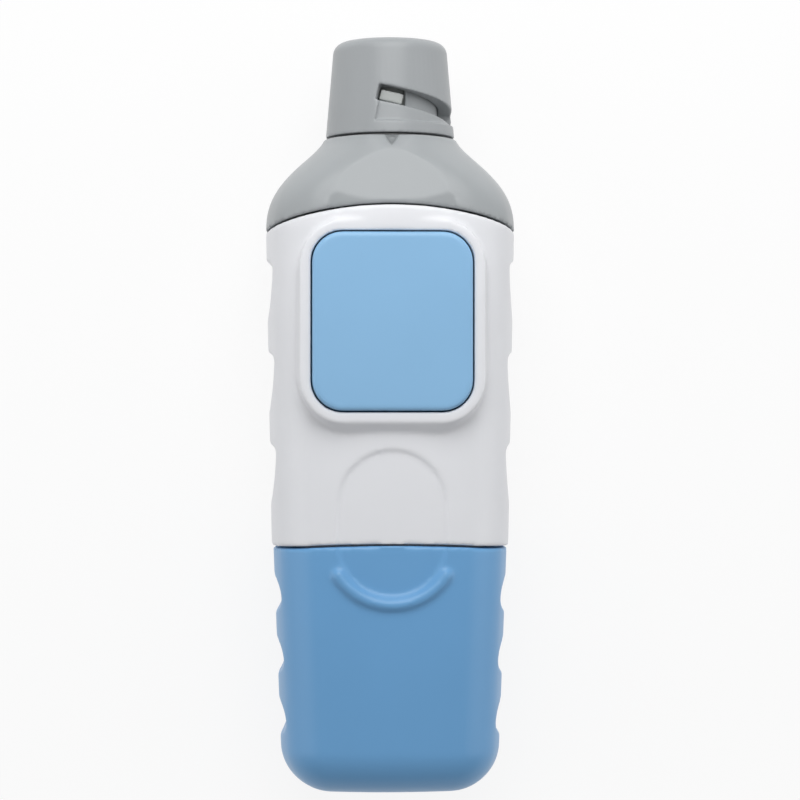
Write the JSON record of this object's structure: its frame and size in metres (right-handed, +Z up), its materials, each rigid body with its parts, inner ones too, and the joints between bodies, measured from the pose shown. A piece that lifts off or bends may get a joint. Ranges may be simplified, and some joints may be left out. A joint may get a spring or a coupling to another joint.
{
  "type": "lancing device",
  "caption": "Flat oval pen-like device that pricks a fingertip: turning depth dial on a pull-off cap, wide release button, and a pull handle that cocks a sprung plunger.",
  "frame": {"origin": "centre of the bounding box at the surface that the flat back lies on", "axes": "+X across the device to the right of the button, +Y along it from the handle to the cap, +Z up out of the button"},
  "size_m": [0.0328, 0.0984, 0.0245],
  "materials": {
    "white_shell": "moulded white plastic, satin",
    "cap_grey": "moulded pale grey plastic, satin",
    "dial_grey": "moulded grey plastic, satin",
    "sleeve_grey": "moulded pale grey plastic, plain",
    "handle_blue": "moulded blue plastic, fine satin",
    "button_blue": "moulded pale blue plastic, fine satin",
    "inner_white": "moulded natural plastic",
    "inner_grey": "moulded grey acetal",
    "washer_white": "slick sheet plastic",
    "steel": "drawn spring wire"
  },
  "bodies": {
    "housing": {"front_housing": "white_shell", "rear_housing": "white_shell", "bulkhead": "inner_white", "barrel": "inner_white", "barrel_plug": "inner_white", "drive_spring": "steel", "return_spring": "steel", "handle_spring": "steel", "button_spring": "steel"},
    "cap": {"cap_shoulder": "cap_grey", "dial_washer": "washer_white"},
    "dial": {"depth_dial": "dial_grey"},
    "sleeve": {"depth_sleeve": "sleeve_grey"},
    "button": {"release_button": "button_blue"},
    "handle": {"cocking_handle": "handle_blue", "cocking_yoke": "inner_grey", "yoke_screws": "steel"},
    "plunger": {"plunger": "inner_grey", "lancet_holder": "inner_grey", "tail_collar": "inner_grey"}
  },
  "joints": [
    {"name": "cap_pull", "type": "slide", "parent": "housing", "child": "cap", "axis": [0, 1, 0], "range_m": [0, 0.04]},
    {"name": "dial_turn", "type": "hinge", "parent": "cap", "child": "dial", "pos_m": [0, 0, 0.0112], "axis": [0, 1, 0], "range_deg": [-85, 0]},
    {"name": "sleeve_slide", "type": "slide", "parent": "cap", "child": "sleeve", "axis": [0, 1, 0], "range_m": [-0.00237, 0]},
    {"name": "button_press", "type": "slide", "parent": "housing", "child": "button", "axis": [0, 0, 1], "range_m": [-0.0015, 0], "stiffness_N_per_m": 600, "deforming": ["button_spring"]},
    {"name": "handle_pull", "type": "slide", "parent": "housing", "child": "handle", "axis": [0, 1, 0], "range_m": [-0.0097, 0], "stiffness_N_per_m": 200, "deforming": ["handle_spring", "drive_spring", "return_spring"]},
    {"name": "plunger_stroke", "type": "slide", "parent": "handle", "child": "plunger", "axis": [0, 1, 0], "range_m": [-0.007, 0.0025], "stiffness_N_per_m": 300, "deforming": ["drive_spring", "return_spring"]}
  ],
  "couplings": [
    {"joint": "sleeve_slide", "follows": "dial_turn", "m_per_rad": 0.0016}
  ]
}
